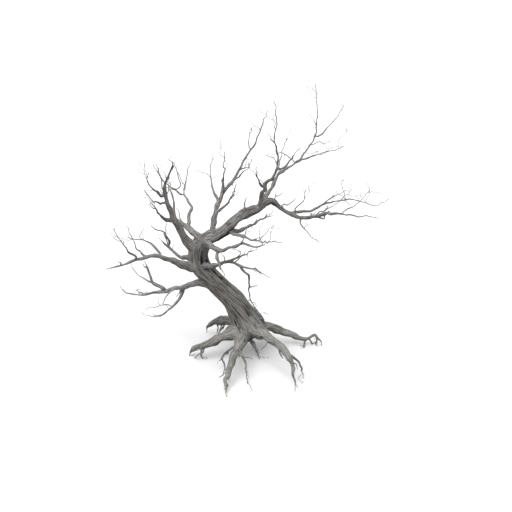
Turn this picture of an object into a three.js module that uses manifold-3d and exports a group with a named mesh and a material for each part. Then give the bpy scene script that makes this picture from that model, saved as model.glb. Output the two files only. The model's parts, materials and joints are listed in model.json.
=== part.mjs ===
// A dead, wind-bent tree that has lost its bark and stands on its own bared roots.
// Units are millimetres. Z is up, the ground is the plane z = 0, and the origin is at the
// middle of the flat cut under the trunk, where its heart root meets the ground.
import * as THREE from "three";
import { mergeVertices } from "three/addons/utils/BufferGeometryUtils.js";
import Module from "manifold-3d";

// ---- Driving dimensions ----
const sectionSpacing = 172; // distance between the cross-sections of a limb
const trunkSpacing = 80; // the trunk's are closer, because it swells and narrows quickly
const trunkSides = 18; // corners of the trunk's cross-section
const limbSides = [[180, 10], [105, 8], [0, 6]]; // [thicker than, corners of the cross-section]
const jointGap = 0.4; // clearance between a limb and the limb it grows from
const domeRise = 25; // a blunt end rises this far to its middle
const footDepth = 60; // how far the heart root runs on before the ground cuts it flat
const rootTipHeight = 3; // a root's point stops this far above the ground
const trimBlock = 2000; // side of the block that trims the foot flat at the ground
const kneeSwell = 0.07; // every other cross-section is this much thicker, the rest thinner
const crookedness = 0.16; // how far a cross-section sits off the limb's line, in radii
const crookTurn = 2.4; // radians that this offset turns from one cross-section to the next

// The trunk's thickness, [distance from its start, diameter]: a slim heart root, the wide
// root crown, and the stem that narrows to its fork.
const trunkGirth = [
  [0, 130],
  [370, 150],
  [490, 330],
  [590, 520],
  [720, 560],
  [950, 505],
  [1300, 440],
  [1850, 392],
  [2350, 365],
  [2750, 320],
  [3100, 270],
];
// The trunk is fluted: [number of ribs round it, depth of each as a share of the radius].
const trunkRibs = [
  [3, 0.07],
  [7, 0.035],
];
const ribTwist = 0.0011; // radians that the ribs turn for each millimetre along the trunk

const trunkBark = { color: 0x6e6c69, roughness: 0.95, metalness: 0 };
const boughWood = { color: 0x7d7b79, roughness: 0.88, metalness: 0 };
const rootWood = { color: 0x8b8a87, roughness: 0.9, metalness: 0 };

// ---- Limbs ----
// Each limb tapers evenly between the two diameters in thick. It leaves the limb named in on,
// at that many legs along it, and then follows its own legs, each [length, heading, rise]:
// heading is in degrees from +X towards +Y, and rise in degrees above level. A limb marked
// blunt is carried on by others, and the rest end in a point. A root ends in one leg more,
// toGround, which is [heading, rise] because its length brings the root's point to the ground.

const stem = [
  { name: "trunk", blunt: true,
    legs: [[160, 0, 90], [390, 11, 48], [370, 180, 80], [460, -174, 64], [460, -174, 52],
      [400, 180, 50], [320, 180, 55], [280, 180, 85], [230, 0, 75]] },
  { name: "leader_low", on: "trunk", at: 8.8, thick: [240, 205], blunt: true,
    legs: [[340, -30, 42], [510, -31, 27]] },
  { name: "leader_arch", on: "leader_low", at: 1.85, thick: [208, 140], blunt: true,
    legs: [[250, -10, 60], [190, 20, 35], [440, 25, 11], [180, 25, 20], [80, 5, -10],
      [190, 0, -45]] },
  { name: "leader_tip", on: "leader_arch", at: 5.8, thick: [96, 14],
    legs: [[360, -15, -18], [210, -50, 10], [680, -39, 24], [1060, -28, 9]] },
];

const roots = [
  { name: "root_front", on: "trunk", at: 2.4, thick: [225, 34],
    legs: [[510, -111, 0], [560, -103, -15], [410, -112, -22]], toGround: [-85, -30] },
  { name: "root_front_east", on: "trunk", at: 2.5, thick: [230, 32],
    legs: [[200, -45, 15], [1130, -54, -4], [310, -70, -40]], toGround: [-74, -52] },
  { name: "root_east", on: "trunk", at: 2.3, thick: [210, 28],
    legs: [[320, 20, 5], [470, 26, -25], [430, -7, -23], [320, 5, 10], [130, -30, -40]],
    toGround: [-40, -65] },
  { name: "root_west", on: "trunk", at: 2.6, thick: [260, 70],
    legs: [[610, -157, -9], [360, -158, -28], [180, 165, -10], [180, 150, -35]],
    toGround: [135, -65] },
  { name: "root_back_west", on: "trunk", at: 2.7, thick: [230, 70],
    legs: [[850, 138, -16], [220, 145, -25], [190, 145, -55]], toGround: [125, -75] },
  { name: "root_back", on: "trunk", at: 2.2, thick: [170, 60],
    legs: [[340, 60, -5], [300, 75, -25], [310, 80, -40]], toGround: [90, -50] },
  { name: "root_sinker", on: "trunk", at: 2, thick: [90, 34],
    legs: [[180, -55, -10], [120, -90, -65], [290, -40, -55]], toGround: [-150, -60] },
  { name: "root_front_fork", on: "root_front", at: 1.4, thick: [50, 24],
    legs: [[300, -55, -25]], toGround: [-81, -49] },
  { name: "root_front_loop", on: "root_front", at: 1.2, thick: [48, 20],
    legs: [[240, -145, -10], [200, -165, -45], [250, -65, -70]], toGround: [-135, -70] },
  { name: "root_front_east_fork", on: "root_front_east", at: 1.9, thick: [46, 20],
    legs: [[250, -5, -30]], toGround: [-20, -71] },
];

const boughs = [
  { name: "west_bough", on: "trunk", at: 8.2, thick: [215, 24],
    legs: [[130, -155, 15], [530, -147, 60], [690, -145, 68], [240, -135, 70], [280, -55, 80],
      [550, -55, 63], [170, -135, 65]] },
  { name: "west_bough_prong", on: "west_bough", at: 2.4, thick: [95, 22],
    legs: [[230, -140, 20], [870, -112, 47]] },
  { name: "west_bough_hook", on: "west_bough", at: 3.1, thick: [56, 16],
    legs: [[670, -119, 31], [360, -116, 53]] },
  { name: "west_bough_claw", on: "west_bough", at: 3.8, thick: [66, 18],
    legs: [[250, -125, 40], [550, -114, 46], [270, -85, 70]] },
  { name: "rear_bough", on: "trunk", at: 8.8, thick: [160, 32],
    legs: [[230, 125, 35], [620, 132, 14], [410, 111, 67], [230, 140, 50]] },
  { name: "rear_bough_mast", on: "rear_bough", at: 1.3, thick: [80, 16],
    legs: [[270, 100, 35], [240, 65, 45], [220, 130, 30], [210, 100, 40], [590, 72, 52]] },
  { name: "rear_bough_twin", on: "rear_bough_mast", at: 3.9, thick: [40, 14],
    legs: [[200, 120, 25], [450, 117, 51]] },
  { name: "rear_bough_reach", on: "rear_bough_mast", at: 3.1, thick: [48, 14],
    legs: [[460, 153, 25], [260, 150, 40], [250, 140, 50]] },
  { name: "side_bough", on: "trunk", at: 7.3, thick: [195, 28],
    legs: [[360, -142, -5], [680, -142, 38], [200, -150, 10], [1010, -147, 0]] },
  { name: "side_bough_curl", on: "side_bough", at: 1.8, thick: [72, 18],
    legs: [[430, 155, 35], [170, 165, 15], [250, 155, -10], [80, 140, 20]] },
  { name: "side_bough_wand", on: "side_bough", at: 2.9, thick: [44, 14],
    legs: [[280, 170, 15], [550, 141, 57]] },
  { name: "side_bough_spray", on: "side_bough", at: 3.3, thick: [54, 14],
    legs: [[320, -135, 40], [930, -121, 56]] },
  { name: "crook_bough", on: "trunk", at: 7.4, thick: [160, 30],
    legs: [[560, 141, -12], [580, 139, 23]] },
  { name: "crook_bough_tip", on: "crook_bough", at: 1.4, thick: [66, 16],
    legs: [[370, -177, 76], [190, -170, 30], [230, -135, 50]] },
  { name: "low_bough", on: "trunk", at: 5.7, thick: [165, 26],
    legs: [[900, 148, -28], [1020, 158, -22], [430, 151, -4], [120, 135, 35]] },
  { name: "low_bough_drop", on: "low_bough", at: 0.9, thick: [98, 20],
    legs: [[230, -160, -70], [400, -134, -29], [350, -134, -1], [120, -140, 50]] },
  { name: "low_bough_riser", on: "low_bough", at: 1.3, thick: [100, 45],
    legs: [[320, 165, 20], [520, 150, 65]] },
  { name: "low_bough_branch", on: "low_bough_riser", at: 0.6, thick: [58, 18],
    legs: [[580, 140, 6], [250, 140, 25]] },
  { name: "east_bough", on: "trunk", at: 6.8, thick: [125, 24],
    legs: [[300, -50, 20], [600, -30, 22], [290, -20, -15], [250, -40, 15], [320, -40, -15]] },
  { name: "east_bough_fork", on: "east_bough", at: 1.6, thick: [60, 18],
    legs: [[1290, -50, 36]] },
  { name: "east_bough_vine", on: "east_bough", at: 2.2, thick: [54, 20],
    legs: [[360, -1, -54], [660, 72, -71], [640, 46, -62]] },
  { name: "front_bough", on: "trunk", at: 8.8, thick: [160, 22],
    legs: [[370, -61, 23], [460, -66, 7], [730, -37, 29], [370, -43, 9], [390, -53, 37]] },
  { name: "front_bough_drop", on: "front_bough", at: 1.9, thick: [105, 24],
    legs: [[330, -75, -30], [250, -45, -55]] },
  { name: "under_back", on: "leader_low", at: 1.85, thick: [100, 28],
    legs: [[380, 45, -14], [1110, 55, -5]] },
  { name: "under_front", on: "leader_low", at: 1.85, thick: [75, 16],
    legs: [[410, -35, 0], [390, -51, 10], [810, -52, 20]] },
];

const crown = [
  { name: "upright_west", on: "leader_low", at: 1.25, thick: [120, 14],
    legs: [[260, 125, 60], [410, 48, 49], [170, 55, 70], [430, 32, 47], [500, 40, 52],
      [180, 20, 45], [810, 40, 61]] },
  { name: "upright_west_front", on: "upright_west", at: 1.4, thick: [64, 18],
    legs: [[410, -26, 44], [750, -65, 54]] },
  { name: "upright_west_back", on: "upright_west", at: 1.8, thick: [66, 16],
    legs: [[900, 104, 27], [300, 70, 40]] },
  { name: "upright_west_rod", on: "upright_west", at: 2.9, thick: [54, 14],
    legs: [[420, -65, 76], [770, -85, 67]] },
  { name: "upright_west_side", on: "upright_west", at: 3.7, thick: [40, 14],
    legs: [[440, -30, 45], [480, -57, 52]] },
  { name: "upright_west_whip", on: "upright_west", at: 5.3, thick: [34, 12],
    legs: [[180, 100, 60], [290, 60, 55]] },
  { name: "upright_middle", on: "leader_arch", at: 2.85, thick: [92, 12],
    legs: [[660, -66, 64], [580, -41, 57], [850, -103, 70], [140, 30, 70], [520, 126, 82]] },
  { name: "upright_middle_fork", on: "upright_middle", at: 0.9, thick: [56, 16],
    legs: [[360, -111, 46], [490, -105, 59]] },
  { name: "upright_middle_side", on: "upright_middle", at: 1.9, thick: [58, 14],
    legs: [[190, -5, 30], [510, -22, 57]] },
  { name: "upright_east", on: "leader_arch", at: 2.75, thick: [82, 13],
    legs: [[350, 49, 30], [530, 55, 37], [590, 34, 23], [520, 48, 39], [750, 80, 78],
      [300, 130, 80]] },
  { name: "upright_east_arm", on: "upright_east", at: 2.7, thick: [42, 14],
    legs: [[360, -20, 28], [920, -38, 29]] },
  { name: "upright_east_wand", on: "upright_east", at: 3.8, thick: [42, 12],
    legs: [[700, 40, 27], [300, 35, 55]] },
  { name: "upright_east_inner", on: "upright_east", at: 2, thick: [40, 14],
    legs: [[200, 90, 40], [600, 68, 44]] },
  { name: "fan_high", on: "leader_tip", at: 0.55, thick: [62, 14],
    legs: [[580, 29, -7], [230, 45, 5], [640, 44, -8], [430, 29, -17], [430, 23, -23],
      [310, 20, 20]] },
  { name: "fan_up", on: "fan_high", at: 1.5, thick: [30, 12],
    legs: [[440, 12, 32], [270, -15, 35]] },
  { name: "fan_cross", on: "leader_tip", at: 2.4, thick: [32, 12],
    legs: [[470, 14, 22], [610, 49, 13]] },
  { name: "fan_outer", on: "leader_tip", at: 3.2, thick: [28, 12],
    legs: [[370, 17, 20], [450, 46, 22]] },
  { name: "fan_horn", on: "fan_high", at: 0.1, thick: [32, 12],
    legs: [[350, 2, 48], [330, -65, 70]] },
  { name: "fan_droop", on: "leader_tip", at: 1.5, thick: [38, 14],
    legs: [[140, -85, -20], [450, -56, -21], [180, -35, -20]] },
];

// ---- Geometry ----

// The vector of one leg.
function legVector([length, heading, rise]) {
  const turn = THREE.MathUtils.degToRad(heading);
  const climb = THREE.MathUtils.degToRad(rise);
  const level = Math.cos(climb);
  const step = new THREE.Vector3(Math.cos(turn) * level, Math.sin(turn) * level, Math.sin(climb));
  return step.multiplyScalar(length);
}

// The smooth line through the ends of a limb's legs.
function limbLine(limb, start) {
  const points = [start];
  for (const leg of limb.legs) {
    points.push(points.at(-1).clone().add(legVector(leg)));
  }
  if (limb.toGround) {
    const [heading, rise] = limb.toGround;
    const drop = points.at(-1).z - rootTipHeight;
    const length = drop / Math.sin(THREE.MathUtils.degToRad(-rise));
    points.push(points.at(-1).clone().add(legVector([length, heading, rise])));
  }
  return new THREE.CatmullRomCurve3(points, false, "centripetal");
}

// The value at a distance, from a list of [distance, value] with straight lines between.
function valueAlong(list, distance) {
  const next = list.findIndex(([mark]) => mark > distance);
  if (next === -1) return list.at(-1)[1];
  const [[startMark, startValue], [endMark, endValue]] = [list[next - 1], list[next]];
  return THREE.MathUtils.mapLinear(distance, startMark, endMark, startValue, endValue);
}

// The radius of a limb's cross-section: distance is how far along, share is that over the length.
function limbRadius(limb, section, distance, share) {
  if (!limb.thick) return valueAlong(trunkGirth, distance) / 2;
  const knee = section % 2 ? 1 - kneeSwell : 1 + kneeSwell;
  return (THREE.MathUtils.lerp(limb.thick[0], limb.thick[1], share) / 2) * knee;
}

// How far the trunk's ribs push its surface out at an angle round it.
function ribFactor(angle, distance) {
  let factor = 1;
  for (const [count, depth] of trunkRibs) {
    factor += depth * Math.cos(count * (angle + ribTwist * distance));
  }
  return factor;
}

// A limb as one closed mesh: a turned spindle with the limb's thickness, whose cross-sections
// are then set square to the limb's line. grown is added all over.
function limbGeometry(limb, line, grown) {
  const length = line.getLength();
  const sections = Math.round(length / (limb.thick ? sectionSpacing : trunkSpacing));
  const sides = limb.thick ? limbSides.find(([over]) => limb.thick[0] >= over)[1] : trunkSides;
  const profile = [new THREE.Vector2(0, 0)];
  for (let section = 0; section < sections; section++) {
    const share = section / sections;
    const radius = limbRadius(limb, section, share * length, share);
    profile.push(new THREE.Vector2(radius + grown, section));
  }
  if (limb.blunt) {
    profile.push(new THREE.Vector2(limbRadius(limb, 0, length, 1) + grown, sections));
  }
  profile.push(new THREE.Vector2(0, sections));

  const spindle = new THREE.LatheGeometry(profile, sides);
  const frames = line.computeFrenetFrames(sections, false);
  const position = spindle.getAttribute("position");
  for (let index = 0; index < position.count; index++) {
    const across = new THREE.Vector2(position.getZ(index), position.getX(index));
    const section = Math.round(position.getY(index));
    const share = section / sections;
    if (!limb.thick) {
      across.multiplyScalar(ribFactor(across.angle(), share * length));
    }
    const inside = section > 0 && section < sections && limb.thick;
    const offset = inside ? crookedness * limbRadius(limb, section, share * length, share) : 0;
    const [side, front] = [frames.normals[section], frames.binormals[section]];
    const place = line.getPointAt(share);
    const outward = Number(section === sections) - Number(section === 0);
    const rise = limb.blunt && outward === 1 && across.length() === 0 ? domeRise : 0;
    place.addScaledVector(frames.tangents[section], outward * grown + rise);
    place.addScaledVector(side, across.x + offset * Math.cos(section * crookTurn));
    place.addScaledVector(front, across.y + offset * Math.sin(section * crookTurn));
    position.setXYZ(index, place.x, place.y, place.z);
  }
  return spindle;
}

const wasm = await Module();
wasm.setup();

// A closed geometry as a solid that can be cut.
function solidOf(geometry) {
  geometry.deleteAttribute("normal");
  geometry.deleteAttribute("uv");
  const merged = mergeVertices(geometry, 1e-3);
  const corners = [];
  for (let index = 0; index < merged.index.count; index += 3) {
    const triangle = merged.index.array.slice(index, index + 3);
    if (new Set(triangle).size === 3) corners.push(...triangle);
  }
  const mesh = new wasm.Mesh({
    numProp: 3,
    vertProperties: merged.getAttribute("position").array,
    triVerts: new Uint32Array(corners),
  });
  return new wasm.Manifold(mesh);
}

// The geometry of a solid.
function geometryOf(solid) {
  const mesh = solid.getMesh();
  const geometry = new THREE.BufferGeometry();
  geometry.setAttribute("position", new THREE.BufferAttribute(mesh.vertProperties, 3));
  geometry.setIndex(new THREE.BufferAttribute(mesh.triVerts, 1));
  geometry.computeVertexNormals();
  return geometry;
}

// The solid's largest separate piece.
function largestPiece(solid) {
  const pieces = solid.decompose();
  return pieces.reduce((best, piece) => (piece.volume() > best.volume() ? piece : best));
}

// ---- The tree ----
const tree = new THREE.Group();
const lines = new Map();
const clearances = [];
const underground = new THREE.BoxGeometry(trimBlock, trimBlock, trimBlock);
underground.translate(0, 0, -trimBlock / 2);
const trim = solidOf(underground);

// Adds one limb, cut back to where it leaves the limbs that were added before it.
function grow(limb, finish) {
  const parent = lines.get(limb.on);
  const start = parent
    ? parent.getPoint(limb.at / (parent.points.length - 1))
    : new THREE.Vector3(0, 0, -footDepth);
  const line = limbLine(limb, start);
  let solid = solidOf(limbGeometry(limb, line, 0));
  for (const clearance of clearances) {
    solid = solid.subtract(clearance);
  }
  if (!parent) solid = solid.subtract(trim);
  lines.set(limb.name, line);
  clearances.push(solidOf(limbGeometry(limb, line, jointGap)));
  const mesh = new THREE.Mesh(geometryOf(largestPiece(solid)), new THREE.MeshStandardMaterial(finish));
  mesh.name = limb.name;
  tree.add(mesh);
}

stem.forEach((limb) => grow(limb, limb.thick ? boughWood : trunkBark));
roots.forEach((limb) => grow(limb, rootWood));
boughs.forEach((limb) => grow(limb, boughWood));
crown.forEach((limb) => grow(limb, boughWood));

export default tree;
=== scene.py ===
"""Looks of a dead, wind-bent tree that has lost its bark and stands on its bared roots.

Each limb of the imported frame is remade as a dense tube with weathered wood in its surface:
strands that twist along the grain, creases between them, knots, and hollows. Limbs swell
into the limbs they grow from. Small branches, twigs and rootlets too fine for the frame
grow by seeded rules. Units are metres, and Z is up.
"""

import itertools
import json
import math
from types import SimpleNamespace

import bpy
import numpy as np
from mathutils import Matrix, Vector

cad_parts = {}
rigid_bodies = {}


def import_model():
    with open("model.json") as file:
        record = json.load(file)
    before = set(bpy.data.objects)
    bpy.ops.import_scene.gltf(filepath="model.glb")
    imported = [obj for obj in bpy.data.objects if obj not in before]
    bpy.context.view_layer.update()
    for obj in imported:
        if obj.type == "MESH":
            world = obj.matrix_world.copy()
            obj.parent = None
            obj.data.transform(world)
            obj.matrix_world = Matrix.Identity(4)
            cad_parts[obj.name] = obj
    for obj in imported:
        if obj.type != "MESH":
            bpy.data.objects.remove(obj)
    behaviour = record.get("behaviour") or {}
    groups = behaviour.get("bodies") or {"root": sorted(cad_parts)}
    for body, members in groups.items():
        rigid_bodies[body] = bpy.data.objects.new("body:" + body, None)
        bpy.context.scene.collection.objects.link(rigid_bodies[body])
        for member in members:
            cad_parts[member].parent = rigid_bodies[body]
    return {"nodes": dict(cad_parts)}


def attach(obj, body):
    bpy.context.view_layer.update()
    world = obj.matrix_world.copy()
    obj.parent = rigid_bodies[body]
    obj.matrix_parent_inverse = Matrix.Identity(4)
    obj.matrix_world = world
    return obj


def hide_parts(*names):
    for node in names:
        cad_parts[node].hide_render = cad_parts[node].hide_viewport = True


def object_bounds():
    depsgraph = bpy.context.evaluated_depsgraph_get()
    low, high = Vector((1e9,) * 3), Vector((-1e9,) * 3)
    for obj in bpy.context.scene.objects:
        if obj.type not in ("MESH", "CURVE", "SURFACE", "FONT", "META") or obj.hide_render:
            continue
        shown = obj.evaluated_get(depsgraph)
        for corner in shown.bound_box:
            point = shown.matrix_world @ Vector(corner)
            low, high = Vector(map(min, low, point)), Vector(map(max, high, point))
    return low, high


SEED = 11

# ---- Which limb grows from which ----
GROWN_ON = {
    "trunk": "root_front root_front_east root_east root_west root_back_west root_back"
    " root_sinker west_bough rear_bough side_bough crook_bough low_bough east_bough"
    " front_bough leader",
    "leader": "upright_west upright_middle upright_east under_back under_front fan_high"
    " fan_cross fan_outer fan_droop",
    "root_front": "root_front_fork root_front_loop",
    "root_front_east": "root_front_east_fork",
    "west_bough": "west_bough_prong west_bough_hook west_bough_claw",
    "rear_bough": "rear_bough_mast rear_bough_twin",
    "rear_bough_mast": "rear_bough_reach",
    "side_bough": "side_bough_curl side_bough_wand side_bough_spray",
    "crook_bough": "crook_bough_tip",
    "low_bough": "low_bough_drop low_bough_riser",
    "low_bough_riser": "low_bough_branch",
    "east_bough": "east_bough_fork east_bough_vine",
    "front_bough": "front_bough_drop",
    "upright_west": "upright_west_front upright_west_back upright_west_rod"
    " upright_west_side upright_west_whip",
    "upright_middle": "upright_middle_fork upright_middle_side",
    "upright_east": "upright_east_arm upright_east_wand upright_east_inner",
    "fan_high": "fan_up fan_horn",
}
PARENT = {child: limb for limb, names in GROWN_ON.items() for child in names.split()}
# The leader is one limb here, with one grain, and three nodes in the frame.
LEADER_NODES = ("leader_low", "leader_arch", "leader_tip")
FRAME_CORNERS = (6, 8, 10, 18)  # corners that a limb's cross-section may have in the frame

# ---- Pieces: [name, its limbs' first words, material slot] ----
PIECES = [
    ("trunk_wood", ["trunk"], "trunk_bark"),
    ("leader_wood", ["leader"], "bough_wood"),
    ("front_roots", ["root_front", "root_sinker"], "root_wood"),
    ("back_roots", ["root_east", "root_west", "root_back"], "root_wood"),
    ("west_boughs", ["west_bough", "front_bough"], "bough_wood"),
    ("rear_boughs", ["rear_bough", "crook_bough"], "bough_wood"),
    ("side_boughs", ["side_bough", "low_bough"], "bough_wood"),
    ("east_boughs", ["east_bough", "under"], "bough_wood"),
    ("upright_boughs", ["upright"], "bough_wood"),
    ("fan_boughs", ["fan"], "bough_wood"),
]

# Limbs that are lighter (above 0) or darker than the rest.
TONES = {
    "leader": -0.06,
    "low_bough": 0.06,
    "root_back_west": -0.06,
    "upright_east": -0.05,
    # west_bough is painted lighter to make up for the shade it gets from the overhead light:
    # painted light.
    "west_bough": 0.06,
}

# ---- Surface ----
TRUNK_COLUMNS = 288  # corners of the trunk's cross-section
COLUMN_WIDTH = 0.005  # spacing of the corners round any other limb
LEAST_COLUMNS = 24
TRUNK_STEP = 0.0105  # spacing of the trunk's cross-sections
LIMB_STEP = 0.0125
FINE_STEP = 0.016  # spacing on limbs thinner than FINE_RADIUS
FINE_RADIUS = 0.03
LIMB_POINT = 0.0062  # least radius of the line of a limb of the frame
TWIG_POINT = 0.001  # and of a finer one
SKIN_POINT = 0.004  # least radius of any surface

FILLET = 1.7  # reach of the swelling where two limbs meet, in radii of the thinner
CROWN_FOOT = 0.38  # the slim heart root below this height doesn't swell
HEART_GIRTH = 0.6  # thickness of the heart root, as a share of the frame's
HEART_FLARE = 0.13  # height over which it widens to the trunk
TAIL_LENGTH = 5.0  # how far a limb's strand runs on down its parent, in its own radii
TAIL_DEPTH = 0.84  # how far out the strand lies, as a share of the parent's radius
TAIL_TURN = 0.5  # how far it winds round the parent, in radians
TAIL_SINK = 0.45  # how much deeper its end lies, as a share of the parent's radius
TAIL_WIDTH = 0.55  # most radius of the strand, as a share of the parent's

STOUT = 0.05  # the line of a limb thicker than this is evened out first
KINK_GAP = 0.05  # spacing of the kinks in the line of a very thin limb
GAP_GROWTH = 2.2  # how much is added to it, in radii of the limb
KINK_THROW = 0.0105  # how far the kinks of a very thin limb lie to either side
THROW_GROWTH = 0.04  # how much is added to it, in radii of the limb
KINK_SWELL = 0.24  # most that a limb swells at a kink, as a share of its radius
LIMB_GNARL = 1.0  # share of the full kinks that a limb of the frame takes
ROOT_GNARL = 1.4
FINE_GNARL = 1.0  # the same for small branches, twigs and rootlets
# The knuckle on the leader, and the waist past it. Places are shares of the leader's way.
KNUCKLE = SimpleNamespace(at=0.468, hump=0.1, width=0.028)
WAIST = SimpleNamespace(at=0.503, slimness=0.24, width=0.085)
ROOT_END = 0.28  # share of a root's way over which it comes to its point
THINNING = 0.36  # how much slimmer a limb is than the frame's, past its first half
TRUNK_TWIST = 0.35  # radians that the grain turns for each metre
LIMB_TWIST = (0.2, 1.3)  # least and most on other limbs
FINE_TWIST = 2.0

# Height of the lumps, as a share of the radius.
TRUNK_LUMPS = 0.07
ROOT_LUMPS = 0.38
LIMB_LUMPS = 0.24

# Strands from broad to fine: their number across and along the grain, height as a share of
# the radius, level that stays in place, and weight in the relief shading, the painted shade
# that darkens the creases between strands.
STRANDS = (
    SimpleNamespace(across=1.0, along=1.0, height=0.055, level=0.62, weight=0.12),
    SimpleNamespace(across=3.1, along=2.1, height=0.075, level=0.6, weight=0.46),
    SimpleNamespace(across=6.2, along=3.4, height=0.036, level=0.6, weight=0.5),
)

# Knots: least spacing, spacing in radii of the limb, least and most size, size above which a
# knot has an eye, height, and width and depth of the eye.
KNOTS = SimpleNamespace(
    gap=0.3, gap_growth=5, size=(0.35, 0.75), open=0.5, height=0.34, eye=0.34, depth=0.2
)

# Long hollows: [middle and half-length as shares of the limb's length, direction it
# faces, half-width and depth as shares of the radius]. Each is also painted darker by its
# depth as painted shade; the leader's downward hollows paint shade on its underside.
HOLLOWS = {
    "trunk": [
        (0.66, 0.17, (0.62, -0.45, 0.64), 0.1, 0.2),
        (0.87, 0.1, (0.7, -0.68, 0.1), 0.36, 0.5),
        (0.42, 0.07, (-0.35, -0.9, -0.2), 0.07, 0.14),
        (0.5, 0.1, (-0.7, 0.6, -0.2), 0.12, 0.26),
        (0.36, 0.08, (0.6, -0.7, 0.1), 0.07, 0.12),
    ],
    "leader": [
        (0.25, 0.09, (0.3, -0.5, -0.8), 0.5, 0.3),
        (0.38, 0.06, (0.2, 0.6, -0.75), 0.3, 0.25),
        (0.47, 0.03, (0.3, -0.6, -0.75), 0.5, 0.16),
    ],
}
HOLLOW_SHADE = 2.4  # how much a hollow's depth darkens the wood: painted shade

# ---- Small branches, twigs and rootlets grown by rule ----
# Each kind: spacing along a limb, least and most length, least and most thickness, pull
# towards the sky (or the ground, below 0), share of the limb's way where the first may
# stand, and corners of the cross-section.
BRANCHLETS = SimpleNamespace(
    spacing=0.6, length=(0.2, 0.6), thickness=(0.024, 0.042), pull=0.5, first=0.25, columns=12
)
TWIGS = SimpleNamespace(
    spacing=0.9, length=(0.07, 0.22), thickness=(0.012, 0.018), pull=0.5, first=0.3, columns=8
)
ROOT_FORKS = SimpleNamespace(
    spacing=0.4, length=(0.2, 0.5), thickness=(0.028, 0.048), pull=-0.9, first=0.12, columns=12
)
ROOTLETS = SimpleNamespace(
    spacing=0.45, length=(0.05, 0.16), thickness=(0.010, 0.018), pull=-0.9, first=0.2, columns=8
)
TWIG_LAST = 0.97  # share of the limb's way where the last twig may stand
TWIG_GIRTH = 1.3  # most thickness of a twig, in radii of its limb
TWIG_LEAN = 1.2  # how strongly a twig leans along its limb
TWIG_SWAY = 0.45  # how strongly it turns at each leg
LEG_PULL = 0.2  # share of the kind's pull that acts at each leg
LEG_ENDS = (0.8, 0.6, 0.35)  # thickness at the end of each leg, as a share of the foot's
CLEARANCE = 0.006  # least height of a twig's line above the ground


# ---- Noise ----
GRADIENTS = np.random.default_rng(SEED).normal(size=(256, 3))
GRADIENTS /= np.linalg.norm(GRADIENTS, axis=1, keepdims=True)


def noise(points, seed):
    """Smooth gradient noise, about -1 to 1, at an array of points."""
    shape = points.shape[:-1]
    points = points.reshape(-1, 3)
    cell = np.floor(points).astype(np.int64)
    offset = points - cell
    fade = offset**3 * (offset * (offset * 6 - 15) + 10)
    total = np.zeros(len(points))
    for corner in itertools.product((0, 1), repeat=3):
        key = (cell + corner) @ np.array([73856093, 19349663, 83492791])
        key = (key + seed * 7919) & 0x7FFFFFFF
        key = ((key ^ (key >> 13)) * 1274126177) & 0x7FFFFFFF
        slope = GRADIENTS[(key ^ (key >> 16)) & 255]
        weight = np.prod(np.where(corner, fade, 1 - fade), axis=1)
        total += weight * ((offset - corner) * slope).sum(1)
    return (total * 1.7).reshape(shape)


def strands(points, seed, sharpness=2.6):
    """Rounded strands from 0 to 1 with sharp creases between them."""
    return np.minimum(1, np.abs(noise(points, seed)) * sharpness) ** 0.65


# ---- Limbs from the frame ----
def cross_sections(node):
    """A limb's cross-sections in the frame, foot first: an array of x, y, z and radius.

    The limb's point is the one vertex from which every step outwards along the edges
    reaches a whole ring of the same number of vertices."""
    mesh = frame["nodes"][node].data
    corners = [tuple(round(x, 5) for x in v.co) for v in mesh.vertices]
    number = {place: n for n, place in enumerate(dict.fromkeys(corners))}
    places = np.array(list(number))
    joined = [set() for _ in places]
    for edge in mesh.edges:
        a, b = (number[corners[v]] for v in edge.vertices)
        if a != b:
            joined[a].add(b)
            joined[b].add(a)
    longest = []
    for apex, around in enumerate(joined):
        levels, seen = [[apex]], {apex}
        while len(around) in FRAME_CORNERS:
            beyond = {n for m in levels[-1] for n in joined[m]} - seen
            if len(beyond) != len(around):
                break
            levels.append(sorted(beyond))
            seen |= beyond
        if len(levels) > max(2, len(longest)):
            longest = levels
    rings = []
    for level in reversed(longest):
        centre = places[level].mean(0)
        reach = np.linalg.norm(places[level] - centre, axis=1).mean()
        rings.append([*centre, reach])
    return np.array(rings)


def curve_through(rows, step):
    """Rows on a smooth curve through the given rows of x, y, z and radius, step apart."""
    gaps = np.linalg.norm(np.diff(rows[:, :3], axis=0), axis=1)
    at = np.concatenate([[0], np.cumsum(gaps)])
    slope = np.empty_like(rows)
    slope[1:-1] = (rows[2:] - rows[:-2]) / (at[2:] - at[:-2])[:, None]
    slope[0] = (rows[1] - rows[0]) / gaps[0]
    slope[-1] = (rows[-1] - rows[-2]) / gaps[-1]
    wanted = np.linspace(0, at[-1], max(4, int(at[-1] / step) + 1))
    span = np.clip(np.searchsorted(at, wanted, side="right") - 1, 0, len(rows) - 2)
    width = gaps[span][:, None]
    t = (wanted[:, None] - at[span][:, None]) / width
    made = (
        rows[span] * (1 + 2 * t) * (1 - t) ** 2
        + rows[span + 1] * t**2 * (3 - 2 * t)
        + slope[span] * width * t * (1 - t) ** 2
        + slope[span + 1] * width * t**2 * (t - 1)
    )
    made[:, 3] = np.maximum(made[:, 3], 0)
    return made


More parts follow.
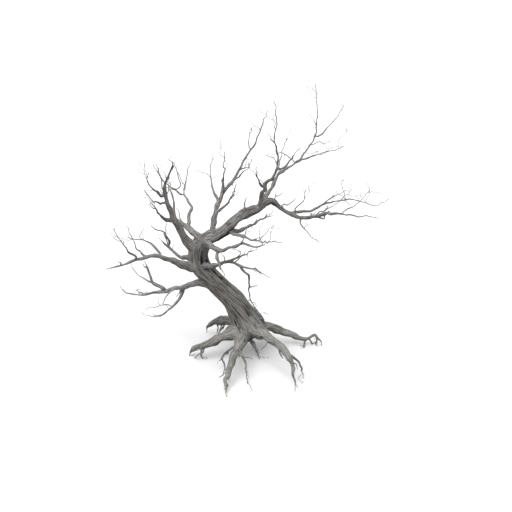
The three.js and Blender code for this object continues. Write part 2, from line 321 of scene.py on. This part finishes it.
def gnarled(rows, seed, gnarl):
    """The rows with kinks in their line and a swelling at each, as old wood grows."""
    gaps = np.linalg.norm(np.diff(rows[:, :3], axis=0), axis=1)
    at = np.concatenate([[0], np.cumsum(gaps)])
    pick = np.random.default_rng(SEED * 500 + seed)
    kinks, throws, swells = [0.0], [[0, 0, 0]], [0]
    while kinks[-1] < at[-1]:
        radius = np.interp(kinks[-1], at, rows[:, 3])
        gap = KINK_GAP + GAP_GROWTH * radius
        kinks.append(kinks[-1] + gap * pick.uniform(0.6, 1.4))
        throws.append((KINK_THROW + THROW_GROWTH * radius) * pick.normal(size=3))
        swells.append(pick.uniform(0, KINK_SWELL))
    moved = rows.copy()
    softness = 0.8 * rows[:, 3] + 0.006
    for axis in range(3):
        offset = np.zeros(len(at))
        for nudge in (-1, 0, 1):
            offset += np.interp(at + nudge * softness, kinks, np.array(throws)[:, axis]) / 3
        moved[:, axis] += gnarl * offset
    for place, swell in zip(kinks, swells):
        width = 1.1 * rows[:, 3] + 0.01
        moved[:, 3] *= 1 + gnarl * swell * np.exp(-(((at - place) / width) ** 2))
    return moved


def unit(vectors):
    return vectors / np.maximum(np.linalg.norm(vectors, axis=-1, keepdims=True), 1e-9)


def limb_from(rows, name, **more):
    """A limb along these rows, with a frame at each that doesn't turn about the limb."""
    centres, radii = rows[:, :3], rows[:, 3]
    along = unit(np.gradient(centres, axis=0))
    side = np.empty_like(centres)
    side[0] = unit(np.cross(along[0], [0.3, 0.9, 0.2]))
    for n in range(1, len(centres)):
        side[n] = unit(side[n - 1] - along[n] * (side[n - 1] @ along[n]))
    gaps = np.linalg.norm(np.diff(centres, axis=0), axis=1)
    distance = np.concatenate([[0], np.cumsum(gaps)])
    return SimpleNamespace(
        name=name,
        centres=centres,
        radii=radii,
        along=along,
        side=side,
        across=np.cross(along, side),
        distance=distance,
        **more,
    )


def nearest(limb, point):
    return int(np.argmin(np.linalg.norm(limb.centres - point, axis=1)))


def tail(parent, foot, radius, upwards):
    """Rows that carry a limb's foot on as a strand along its parent, innermost first."""
    start = nearest(parent, foot)
    outwards = foot - parent.centres[start]
    outwards -= parent.along[start] * (outwards @ parent.along[start])
    turn = math.atan2(outwards @ parent.across[start], outwards @ parent.side[start])
    spacing = parent.distance[-1] / (len(parent.distance) - 1)
    reach = min(TAIL_LENGTH * radius, 0.9 * parent.distance[-1])
    rows = []
    for share in (1.0, 0.75, 0.5, 0.25):
        steps = int(share * reach / spacing) * (1 if upwards else -1)
        n = min(max(start + steps, 1), len(parent.radii) - 2)
        angle = turn + TAIL_TURN * share * (-1 if upwards else 1)
        lean = math.cos(angle) * parent.side[n] + math.sin(angle) * parent.across[n]
        sunk = parent.radii[n] * (TAIL_DEPTH - TAIL_SINK * share**1.5)
        width = min(radius, TAIL_WIDTH * parent.radii[n]) * (1 - 0.5 * share)
        rows.append([*(parent.centres[n] + lean * sunk), width])
    return np.array(rows)


def make_limb(name):
    """The limb of that name, from its cross-sections in the frame and its parent."""
    nodes = LEADER_NODES if name == "leader" else (name,)
    rows = cross_sections(nodes[0])
    for node in nodes[1:]:
        rows = np.vstack([rows[rows[:, 3] > 0][:-1], cross_sections(node)])
    seed = len(limbs)
    if rows[:, 3].max() > STOUT:
        wide = np.where(rows[1:-1, 3] > STOUT)[0] + 1
        rows[wide] = (rows[wide - 1] + 2 * rows[wide] + rows[wide + 1]) / 4
    if name == "trunk":
        foot = rows[0].copy()
        foot[2] = 0
        rows = np.vstack([foot, rows])
    else:
        parent = limbs[PARENT[name]]
        entry = rows[0] + (rows[0] - rows[1]) * 0.35
        entry[3] = rows[0][3]
        upwards = name.startswith("root") and parent.name == "trunk"
        held = tail(parent, rows[0][:3], rows[0][3], upwards)
        gap = np.linalg.norm(entry[:3] - held[-1][:3])
        if gap > rows[0][3]:
            held = np.vstack([held, (entry * 0.6 + held[-1] * 0.4)])
        first_ring = rows[0][:3]
        rows = np.vstack([held, rows])
    thickest = rows[:, 3].max()
    step = TRUNK_STEP if name == "trunk" else LIMB_STEP
    if thickest < FINE_RADIUS:
        step = FINE_STEP
    path = curve_through(rows, step)
    if name == "trunk":
        widening = np.clip((path[:, 2] - CROWN_FOOT) / HEART_FLARE, 0, 1)
        path[:, 3] *= HEART_GIRTH + (1 - HEART_GIRTH) * widening
    else:
        is_root = name.startswith("root")
        share = np.linspace(0, 1, len(path))
        if name == "leader":
            waist = np.exp(-(((share - WAIST.at) / WAIST.width) ** 4))
            path[:, 3] *= 1 - WAIST.slimness * waist
            path[:, 2] += KNUCKLE.hump * np.exp(-(((share - KNUCKLE.at) / KNUCKLE.width) ** 2))
            share -= 0.5
        path = gnarled(path, seed, ROOT_GNARL if is_root else LIMB_GNARL)
        path[:, 3] *= 1 - (0 if is_root else THINNING) * np.clip(share / 0.5, 0, 1) ** 1.5
        if is_root:
            path[:, 3] *= np.clip((1.03 - share) / ROOT_END, 0, 1) ** 0.6
        path[:, 3] = np.maximum(path[:, 3], LIMB_POINT)
    twist = TRUNK_TWIST
    if name != "trunk":
        way = 1 if chance.random() < 0.7 else -1
        twist = chance.uniform(*LIMB_TWIST) * way
    lumpiness = LIMB_LUMPS
    if name == "trunk":
        lumpiness = TRUNK_LUMPS
    elif name.startswith("root"):
        lumpiness = ROOT_LUMPS
    limb = limb_from(
        path,
        name,
        nodes=nodes,
        seed=seed,
        twist=twist,
        thickest=thickest,
        lumpiness=lumpiness,
    )
    limb.bare = 0 if name == "trunk" else nearest(limb, first_ring)
    return limb


# ---- Small branches, twigs and rootlets ----
def offshoot(limb, rows, columns):
    """A limb too fine for the frame, along these rows from the middle of its parent."""
    fine.seed += 1
    path = curve_through(np.array(rows), FINE_STEP)
    path[:, 3] = np.maximum(path[:, 3], TWIG_POINT)
    return limb_from(
        gnarled(path, fine.seed, FINE_GNARL),
        limb.name + "_offshoot",
        seed=fine.seed,
        twist=FINE_TWIST,
        thickest=rows[0][3],
        lumpiness=LIMB_LUMPS,
        columns=columns,
        parent=limb,
        bare=0,
    )


def twigs_on(limb, kind, pick):
    """Twigs set along a limb by the kind's rule: crooked, tapering, and pulled one way."""
    reach = limb.distance[-1] - limb.distance[limb.bare]
    made = []
    for _ in range(round(reach / kind.spacing)):
        share = pick.uniform(kind.first, TWIG_LAST)
        start = limb.bare + int(share * (len(limb.centres) - 1 - limb.bare))
        length = pick.uniform(*kind.length)
        thickness = min(pick.uniform(*kind.thickness), TWIG_GIRTH * limb.radii[start])
        towards = unit(pick.normal(size=3))
        towards = unit(np.cross(limb.along[start], towards))
        towards = unit(towards + TWIG_LEAN * limb.along[start] + [0, 0, kind.pull])
        place = limb.centres[start] + towards * limb.radii[start] * 0.5
        rows = [[*place, thickness / 2]]
        for left in LEG_ENDS:
            sway = TWIG_SWAY * pick.normal(size=3)
            towards = unit(towards + sway + [0, 0, LEG_PULL * kind.pull])
            place = place + towards * length / len(LEG_ENDS)
            place[2] = max(place[2], CLEARANCE)
            rows.append([*place, thickness / 2 * left])
        ends = np.array(rows)[:, :3]
        if np.all((ends > np.array(cad_low)) & (ends < np.array(cad_high))):
            made.append(offshoot(limb, rows, kind.columns))
    return made


# ---- Wood surface ----
def fillet(points, outwards, own, others):
    """Moves points outwards where the limb meets another, for a rounded joint."""
    flat = points.reshape(-1, 3)
    lift = np.zeros(len(flat))
    for other in others:
        reach = FILLET * min(own.thickest, other.thickest)
        low = other.centres.min(0) - other.thickest - reach
        high = other.centres.max(0) + other.thickest + reach
        near = np.where(np.all((flat > low) & (flat < high), axis=1))[0]
        for part in np.array_split(near, max(1, len(near) // 4000)):
            if not len(part):
                continue
            away = np.linalg.norm(flat[part][:, None] - other.centres[None], axis=2)
            gap = np.abs((away - other.radii).min(1))
            here = reach / 4 * np.clip(1 - gap / reach, 0, 1) ** 2
            lift[part] = np.maximum(lift[part], here)
    if own.name == "trunk":
        lift *= np.clip((flat[:, 2] - CROWN_FOOT) / 0.1, 0, 1)
    return points + outwards * lift.reshape(points.shape[:-1])[..., None]


def knots(limb, distance, angle, radius):
    """Swellings left by lost branches, each with a sunken eye: (height, hollow)."""
    height = np.zeros(np.broadcast(distance, angle).shape)
    hollow = height.copy()
    pick = np.random.default_rng(SEED * 1000 + limb.seed)
    count = int(limb.distance[-1] / max(KNOTS.gap, KNOTS.gap_growth * limb.thickest))
    for _ in range(count):
        place = pick.uniform(0.08, 0.95) * limb.distance[-1]
        facing = pick.uniform(-math.pi, math.pi)
        size = pick.uniform(*KNOTS.size)
        turn = np.angle(np.exp(1j * (angle - facing)))
        away = np.hypot((distance - place) / radius * 0.75, turn) / size
        height += size * KNOTS.height * np.exp(-(away**2))
        if size > KNOTS.open:
            hollow += np.exp(-((away / KNOTS.eye) ** 2))
    return height, hollow


def hollows(limb, distance, angle, grain):
    """How deep the limb's long hollows are at each point, as shares of the radius."""
    depth = np.zeros(np.broadcast(distance, angle).shape)
    whole = limb.distance[-1]
    ragged = noise(grain * [2.2, 2.2, 3.0], 77) * 0.12
    ragged += noise(grain * [7, 7, 9.0], 78) * 0.08
    for middle, half, facing, width, deep in HOLLOWS[limb.name]:
        facing = np.array(facing)
        towards = np.arctan2(limb.across @ facing, limb.side @ facing)[:, None]
        share = np.clip(1 - ((distance / whole - middle) / half) ** 2, 0, 1) ** 0.5
        turn = np.angle(np.exp(1j * (angle - towards))) + ragged
        depth += deep * share * np.exp(-((turn / (width * (0.3 + share))) ** 4))
    return depth


def wood(limb, columns, others):
    """The limb's tube: points, and for each its grain coordinates and its relief shading, the
    painted shade that darkens creases, hollows and knot eyes.
    """
    distance = limb.distance[:, None]
    angle = np.linspace(0, 2 * math.pi, columns, endpoint=False)[None]
    radius = np.maximum(limb.radii, SKIN_POINT)[:, None]
    spread = 1.0 + 6 * limb.thickest
    pace = np.gradient(limb.distance) / (6 * limb.radii + 0.15)
    travelled = np.cumsum(pace)[:, None]
    turned = angle + limb.twist * distance
    grain = np.stack(
        [
            spread * np.cos(turned),
            spread * np.sin(turned),
            np.broadcast_to(travelled, turned.shape) + 31.7 * limb.seed,
        ],
        axis=-1,
    )
    warp = 0.3 * noise(grain * [0.8, 0.8, 1.6], 5)[..., None]
    warped = grain + warp * [1, 1, 0]
    flat_radius = np.broadcast_to(radius, turned.shape)
    outwards = (
        np.cos(angle)[..., None] * limb.side[:, None]
        + np.sin(angle)[..., None] * limb.across[:, None]
    )
    core = limb.centres[:, None] + outwards * flat_radius[..., None]
    lumps = noise(core / (1.8 * limb.thickest + 0.025), 4)
    swell, eye = knots(limb, distance, angle, radius)
    height, raised = 0, 0
    # The creases between strands are painted darker: painted shade.
    for seed, kind in enumerate(STRANDS, 1):
        lines = strands(warped * [kind.across, kind.across, kind.along], seed)
        height = height + kind.height * (lines - kind.level)
        raised = raised + kind.weight * lines
    height += limb.lumpiness * lumps + swell - KNOTS.depth * eye
    # Sunken knot eyes are painted darker: painted shade.
    raised -= 0.6 * eye
    # Hollows are cut into the wood and painted darker by their depth: painted shade.
    if limb.name in HOLLOWS:
        cut = hollows(limb, distance, angle, grain)
        height -= cut
        raised -= HOLLOW_SHADE * cut
    points = limb.centres[:, None] + outwards * (radius * (1 + height))[..., None]
    points = fillet(points, outwards, limb, others)
    points[..., 2] = np.maximum(points[..., 2], 0)
    return points, grain, np.clip(raised, 0, 1)


# ---- Meshes ----
def add_tube(heap, points, grain, raised, tone):
    """Puts a tube, closed at both ends, on the heap of a piece."""
    rings, columns = points.shape[:2]
    first = heap.count
    index = first + np.arange(rings * columns).reshape(rings, columns)
    after = np.roll(index, -1, axis=1)
    quads = np.stack([index[:-1], after[:-1], after[1:], index[1:]], axis=-1)
    heap.quads.append(quads.reshape(-1, 4))
    foot, point = first + rings * columns, first + rings * columns + 1
    heap.triangles.append(
        np.stack([after[0], index[0], np.full(columns, foot)], axis=-1)
    )
    heap.triangles.append(
        np.stack([index[-1], after[-1], np.full(columns, point)], axis=-1)
    )
    ends = [points[0].mean(0), points[-1].mean(0)]
    heap.points += [points.reshape(-1, 3), np.array(ends)]
    heap.grain += [grain.reshape(-1, 3), grain[[0, -1], 0]]
    heap.raised += [raised.ravel(), raised[[0, -1], 0]]
    heap.tone.append(np.full(rings * columns + 2, tone))
    heap.count += rings * columns + 2


def new_heap():
    return SimpleNamespace(
        points=[], grain=[], raised=[], tone=[], quads=[], triangles=[], count=0
    )


def make_piece(name, heap, material, nodes=()):
    """One smooth-shaded mesh of everything on the heap."""
    mesh = bpy.data.meshes.new(name)
    points = np.vstack(heap.points)
    quads = np.vstack(heap.quads)
    triangles = np.vstack(heap.triangles)
    corners = np.concatenate([quads.ravel(), triangles.ravel()])
    starts = np.concatenate(
        [np.arange(len(quads)) * 4, len(quads) * 4 + np.arange(len(triangles)) * 3]
    )
    mesh.vertices.add(len(points))
    mesh.vertices.foreach_set("co", points.ravel())
    mesh.loops.add(len(corners))
    mesh.loops.foreach_set("vertex_index", corners)
    mesh.polygons.add(len(starts))
    mesh.polygons.foreach_set("loop_start", starts)
    mesh.update(calc_edges=True)
    mesh.shade_smooth()
    grain = mesh.attributes.new("grain", "FLOAT_VECTOR", "POINT")
    grain.data.foreach_set("vector", np.vstack(heap.grain).ravel())
    raised = mesh.attributes.new("raised", "FLOAT", "POINT")
    raised.data.foreach_set("value", np.concatenate(heap.raised))
    tone = mesh.attributes.new("tone", "FLOAT", "POINT")
    tone.data.foreach_set("value", np.concatenate(heap.tone))
    mesh.materials.append(material)
    piece = bpy.data.objects.new(name, mesh)
    bpy.context.scene.collection.objects.link(piece)
    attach(piece, "root")
    if nodes:
        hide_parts(*nodes)


# ---- Materials ----
def wood_material(name, dark, middle, light, roughness, fibre_bump):
    """Weathered wood: painted shade in its creases and hollows, streaked along the grain,
    blotched by weather.
    """
    material = bpy.data.materials.new(name)
    material.use_nodes = True
    nodes, links = material.node_tree.nodes, material.node_tree.links
    shader = nodes["Principled BSDF"]
    shader.inputs["Specular IOR Level"].default_value = 0.25

    def node(kind, **settings):
        made = nodes.new(kind)
        for key, value in settings.items():
            setattr(made, key, value)
        return made

    def link(source, target):
        links.new(source, target)

    def noise_node(source, scale, detail, stretch):
        mapping = node("ShaderNodeMapping")
        mapping.inputs["Scale"].default_value = stretch
        link(source, mapping.inputs["Vector"])
        made = node("ShaderNodeTexNoise")
        made.inputs["Scale"].default_value = scale
        made.inputs["Detail"].default_value = detail
        link(mapping.outputs["Vector"], made.inputs["Vector"])
        return made.outputs["Fac"]

    def maths(kind, a, b):
        made = node("ShaderNodeMath", operation=kind)
        for socket, value in zip(made.inputs, (a, b)):
            if isinstance(value, (int, float)):
                socket.default_value = value
            else:
                link(value, socket)
        return made.outputs[0]

    grain = node("ShaderNodeAttribute", attribute_name="grain").outputs["Vector"]
    raised = node("ShaderNodeAttribute", attribute_name="raised").outputs["Fac"]
    tone = node("ShaderNodeAttribute", attribute_name="tone").outputs["Fac"]
    place = node("ShaderNodeTexCoord").outputs["Object"]
    streaks = noise_node(grain, 1.0, 6.0, (11, 11, 3.2))
    threads = noise_node(grain, 1.0, 4.0, (34, 34, 8))
    blotches = noise_node(place, 3.1, 3.0, (1, 1, 1))
    specks = noise_node(place, 95.0, 3.0, (1, 1, 1))

    # Painted shade: the lower the wood lies in creases, hollows and knot eyes, the darker it
    # is; fine streaks, blotches, specks and the limb's tone add the wood's own grain and
    # colour.
    level = maths("MULTIPLY", raised, 0.9)
    level = maths("ADD", level, maths("MULTIPLY", streaks, 0.9))
    level = maths("ADD", level, maths("MULTIPLY", blotches, 0.36))
    level = maths("ADD", level, maths("MULTIPLY", specks, 0.3))
    level = maths("ADD", level, tone)
    level = maths("SUBTRACT", level, 0.9)
    ramp = node("ShaderNodeValToRGB")
    ramp.color_ramp.elements[0].position = 0.08
    ramp.color_ramp.elements[0].color = (*dark, 1)
    ramp.color_ramp.elements[1].position = 0.86
    ramp.color_ramp.elements[1].color = (*light, 1)
    ramp.color_ramp.elements.new(0.42).color = (*middle, 1)
    link(level, ramp.inputs["Fac"])
    link(ramp.outputs["Color"], shader.inputs["Base Color"])

    rough = node("ShaderNodeMapRange")
    rough.inputs["To Min"].default_value = roughness + 0.08
    rough.inputs["To Max"].default_value = roughness - 0.08
    link(streaks, rough.inputs["Value"])
    link(rough.outputs["Result"], shader.inputs["Roughness"])

    relief = maths("ADD", maths("MULTIPLY", threads, 0.7), maths("MULTIPLY", specks, 0.3))
    relief = maths("ADD", relief, maths("MULTIPLY", streaks, 1.1))
    bump = node("ShaderNodeBump")
    bump.inputs["Strength"].default_value = 0.85
    bump.inputs["Distance"].default_value = fibre_bump
    link(relief, bump.inputs["Height"])
    link(bump.outputs["Normal"], shader.inputs["Normal"])
    return material


MATERIALS = {
    "trunk_bark": wood_material(
        "trunk_bark", (0.018, 0.015, 0.013), (0.135, 0.125, 0.115), (0.40, 0.385, 0.365),
        0.86, 0.008,
    ),
    "bough_wood": wood_material(
        "bough_wood", (0.026, 0.025, 0.024), (0.155, 0.150, 0.145), (0.36, 0.352, 0.345),
        0.8, 0.004,
    ),
    "root_wood": wood_material(
        "root_wood", (0.032, 0.031, 0.029), (0.165, 0.162, 0.152), (0.38, 0.375, 0.355),
        0.84, 0.004,
    ),
    "twig_wood": wood_material(
        "twig_wood", (0.07, 0.068, 0.065), (0.22, 0.216, 0.21), (0.42, 0.415, 0.41),
        0.8, 0.0015,
    ),
}


# ---- Build ----
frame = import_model()
cad_low, cad_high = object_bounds()
chance = np.random.default_rng(SEED)
limbs = {}
for limb_name in ["trunk", *PARENT]:
    limbs[limb_name] = make_limb(limb_name)


def kin(name):
    """The limbs that may meet this one: its parent, its children and its siblings."""
    children = [n for n, parent in PARENT.items() if parent == name]
    siblings = [n for n, parent in PARENT.items() if parent == PARENT.get(name)]
    close = set(children + siblings + [PARENT.get(name, name)]) - {name}
    return [limbs[n] for n in sorted(close)]


def columns_of(limb):
    if limb.name == "trunk":
        return TRUNK_COLUMNS
    girth = 2 * math.pi * limb.thickest
    return max(LEAST_COLUMNS, 2 * round(girth / COLUMN_WIDTH / 2))


for piece_name, starts, slot_name in PIECES:
    heap = new_heap()
    replaced = []
    for limb in limbs.values():
        if any(limb.name.startswith(word) for word in starts):
            points, grain, raised = wood(limb, columns_of(limb), kin(limb.name))
            tone = TONES.get(limb.name, 0) + chance.uniform(-0.04, 0.04)
            add_tube(heap, points, grain, raised, tone)
            replaced += limb.nodes
    make_piece(piece_name, heap, MATERIALS[slot_name], replaced)

# ---- Small branches and twigs, in one piece for the crown and one for the roots ----
fine = SimpleNamespace(seed=len(limbs))  # last seed given out
for piece_name, slot_name, is_root, forks, twigs in (
    ("crown_twigs", "twig_wood", False, BRANCHLETS, TWIGS),
    ("rootlets", "root_wood", True, ROOT_FORKS, ROOTLETS),
):
    heap = new_heap()
    offshoots = []
    for limb in limbs.values():
        if limb.name == "trunk" or limb.name.startswith("root") != is_root:
            continue
        grown = twigs_on(limb, forks, chance)
        for bearer in [limb, *grown]:
            grown = grown + twigs_on(bearer, twigs, chance)
        offshoots += grown
    for limb in offshoots:
        points, grain, raised = wood(limb, limb.columns, [limb.parent])
        add_tube(heap, points, grain, raised, chance.uniform(-0.06, 0.06))
    make_piece(piece_name, heap, MATERIALS[slot_name])

# ---- Studio ----
FLOOR_SIDE = 600.0
DOME = 0.9  # strength of the dome above the horizon
DIM_BELOW = 0.12  # and below it
HORIZON = (-0.05, 0.03)  # heights over which the dome brightens
OVERHEAD = 2.3  # strength of the broad light from above
OVERHEAD_WIDTH = math.radians(50)
OVERHEAD_TILT = (math.radians(18), math.radians(-14), 0)
floor_mesh = bpy.data.meshes.new("floor")
half = FLOOR_SIDE / 2
floor_mesh.from_pydata(
    [(-half, -half, 0), (half, -half, 0), (half, half, 0), (-half, half, 0)],
    [],
    [(0, 1, 2, 3)],
)
floor = bpy.data.objects.new("floor", floor_mesh)
floor_material = bpy.data.materials.new("pale_floor")
floor_material.use_nodes = True
floor_shader = floor_material.node_tree.nodes["Principled BSDF"]
floor_shader.inputs["Base Color"].default_value = (0.78, 0.78, 0.78, 1)
floor_shader.inputs["Roughness"].default_value = 0.9
floor_mesh.materials.append(floor_material)
bpy.context.scene.collection.objects.link(floor)

# The sky is a pale dome, dim below the horizon, so that undersides stay dark.
world = bpy.data.worlds.new("studio")
world.use_nodes = True
sky_nodes, sky_links = world.node_tree.nodes, world.node_tree.links
direction = sky_nodes.new("ShaderNodeTexCoord")
height = sky_nodes.new("ShaderNodeSeparateXYZ")
dome = sky_nodes.new("ShaderNodeMapRange")
dome.inputs["From Min"].default_value = HORIZON[0]
dome.inputs["From Max"].default_value = HORIZON[1]
dome.inputs["To Min"].default_value = DIM_BELOW
dome.inputs["To Max"].default_value = DOME
sky_links.new(direction.outputs["Generated"], height.inputs["Vector"])
sky_links.new(height.outputs["Z"], dome.inputs["Value"])
sky_links.new(dome.outputs["Result"], sky_nodes["Background"].inputs["Strength"])
sky_nodes["Background"].inputs["Color"].default_value = (1, 1, 1, 1)
bpy.context.scene.world = world
bpy.context.scene.view_settings.view_transform = "Standard"
floor.visible_diffuse = False

overhead = bpy.data.lights.new("overhead", "SUN")
overhead.angle = OVERHEAD_WIDTH
overhead.energy = OVERHEAD
overhead_object = bpy.data.objects.new("overhead", overhead)
overhead_object.rotation_euler = OVERHEAD_TILT
bpy.context.scene.collection.objects.link(overhead_object)

# ---- Camera ----
ELEVATION = math.radians(28)
SENSOR = 36
LENS = 100
DISTANCE = 28.44
FARTHEST = 1000
AIM = Vector((0.40, 0, 2.265))
camera_data = bpy.data.cameras.new("camera")
camera_data.sensor_width = SENSOR
camera_data.lens = LENS
camera_data.clip_end = FARTHEST
camera = bpy.data.objects.new("camera", camera_data)
camera.location = AIM + DISTANCE * Vector((0, -math.cos(ELEVATION), math.sin(ELEVATION)))
camera.rotation_euler = (math.pi / 2 - ELEVATION, 0, 0)
bpy.context.scene.collection.objects.link(camera)
bpy.context.scene.camera = camera
